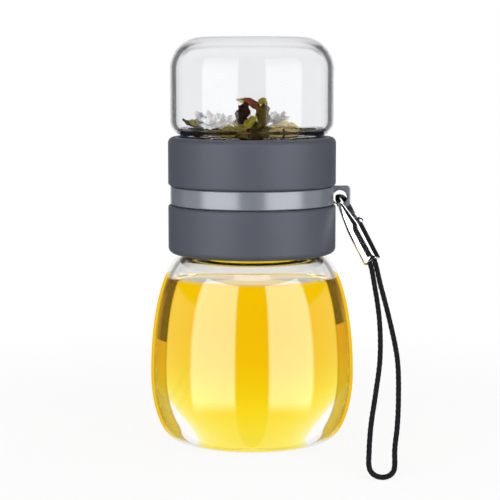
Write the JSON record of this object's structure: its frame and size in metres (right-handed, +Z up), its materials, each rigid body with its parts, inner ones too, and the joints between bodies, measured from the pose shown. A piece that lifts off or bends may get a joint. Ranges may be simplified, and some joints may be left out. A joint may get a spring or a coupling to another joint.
{
  "type": "tea infuser bottle",
  "caption": "Tea infuser bottle: a bellied glass bottle and a closed glass tea chamber joined by a collared screw connector with a filter, a loose carry ring and a wrist lanyard.",
  "frame": {"origin": "centre of the foot of the bottle, on the surface that it stands on", "axes": "+Z up along the axis of the bottle, +X towards the lug of the carry ring, -Y towards the viewer"},
  "size_m": [0.0984, 0.1156, 0.1622],
  "materials": {
    "glass": "clear polished glass",
    "collar_plastic": "matt slate grey",
    "ring_plastic": "satin grey",
    "core_plastic": "dark moulded",
    "silicone": "translucent pale",
    "filter_steel": "perforated sheet",
    "hook_chrome": "bright plated sheet",
    "rivet_steel": "plain",
    "cord": "braided"
  },
  "bodies": {
    "bottle": {"bottle_glass": "glass"},
    "bottle_gasket": {"bottle_seal": "silicone"},
    "connector": {"connector_core": "core_plastic", "lower_collar": "collar_plastic", "upper_collar": "collar_plastic"},
    "ring": {"carry_ring": "ring_plastic"},
    "chamber_gasket": {"chamber_seal": "silicone"},
    "filter": {"filter_frame": "core_plastic", "filter_mesh": "filter_steel", "filter_seal": "silicone"},
    "chamber": {"tea_chamber_glass": "glass"},
    "strap": {"hook_body": "hook_chrome", "gate_rivet": "rivet_steel", "lanyard_cord": "cord"},
    "gate": {"hook_gate": "hook_chrome"}
  },
  "joints": [
    {"name": "connector_turn", "type": "hinge", "parent": "bottle", "child": "bottle_gasket", "pos_m": [0, 0, 0.0956], "axis": [0, 0, 1], "range_deg": [0, 450]},
    {"name": "connector_lift", "type": "slide", "parent": "bottle_gasket", "child": "connector", "axis": [0, 0, 1], "range_m": [0, 0.045]},
    {"name": "ring_turn", "type": "hinge", "parent": "connector", "child": "ring", "pos_m": [0, 0, 0.099], "axis": [0, 0, 1], "continuous": true},
    {"name": "strap_swing", "type": "hinge", "parent": "ring", "child": "strap", "pos_m": [0.0355, 0, 0.09804], "axis": [0, -1, 0], "range_deg": [-12, 110]},
    {"name": "gate_open", "type": "hinge", "parent": "strap", "child": "gate", "pos_m": [0.0417, -0.00364, 0.08728], "axis": [0.6794, -0.432, 0.5932], "range_deg": [0, 30], "stiffness_Nm_per_rad": 0.004},
    {"name": "chamber_turn", "type": "hinge", "parent": "connector", "child": "chamber_gasket", "pos_m": [0, 0, 0.1003], "axis": [0, 0, 1], "range_deg": [0, 450]},
    {"name": "chamber_rise", "type": "slide", "parent": "chamber_gasket", "child": "filter", "axis": [0, 0, 1], "range_m": [0, 0.005]},
    {"name": "chamber_pull", "type": "slide", "parent": "filter", "child": "chamber", "axis": [0, 0, 1], "range_m": [0, 0.045]}
  ],
  "couplings": [
    {"joint": "chamber_rise", "follows": "chamber_turn", "m_per_rad": 0.0006366}
  ]
}
